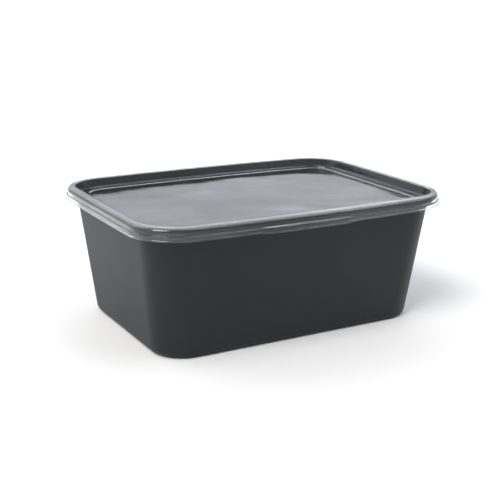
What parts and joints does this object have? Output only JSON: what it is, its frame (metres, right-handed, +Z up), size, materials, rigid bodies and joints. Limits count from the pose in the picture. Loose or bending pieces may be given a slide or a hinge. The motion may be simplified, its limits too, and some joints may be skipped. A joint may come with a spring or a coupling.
{
  "type": "takeaway meal container",
  "caption": "Shut rectangular takeaway meal container: a black moulded tub with leaning walls and a clear press-on lid with a recessed panel.",
  "frame": {"origin": "middle of the underside, on the surface that the container stands on", "axes": "+X along the container's length, +Y from its front to its back, +Z up"},
  "size_m": [0.174, 0.1282, 0.0675],
  "materials": {
    "tub_plastic": "black injection-moulded polypropylene, satin to matte",
    "lid_plastic": "clear, slightly hazy polypropylene, glossy"
  },
  "bodies": {
    "root": {"tub": "tub_plastic", "lid": "lid_plastic"}
  },
  "joints": []
}
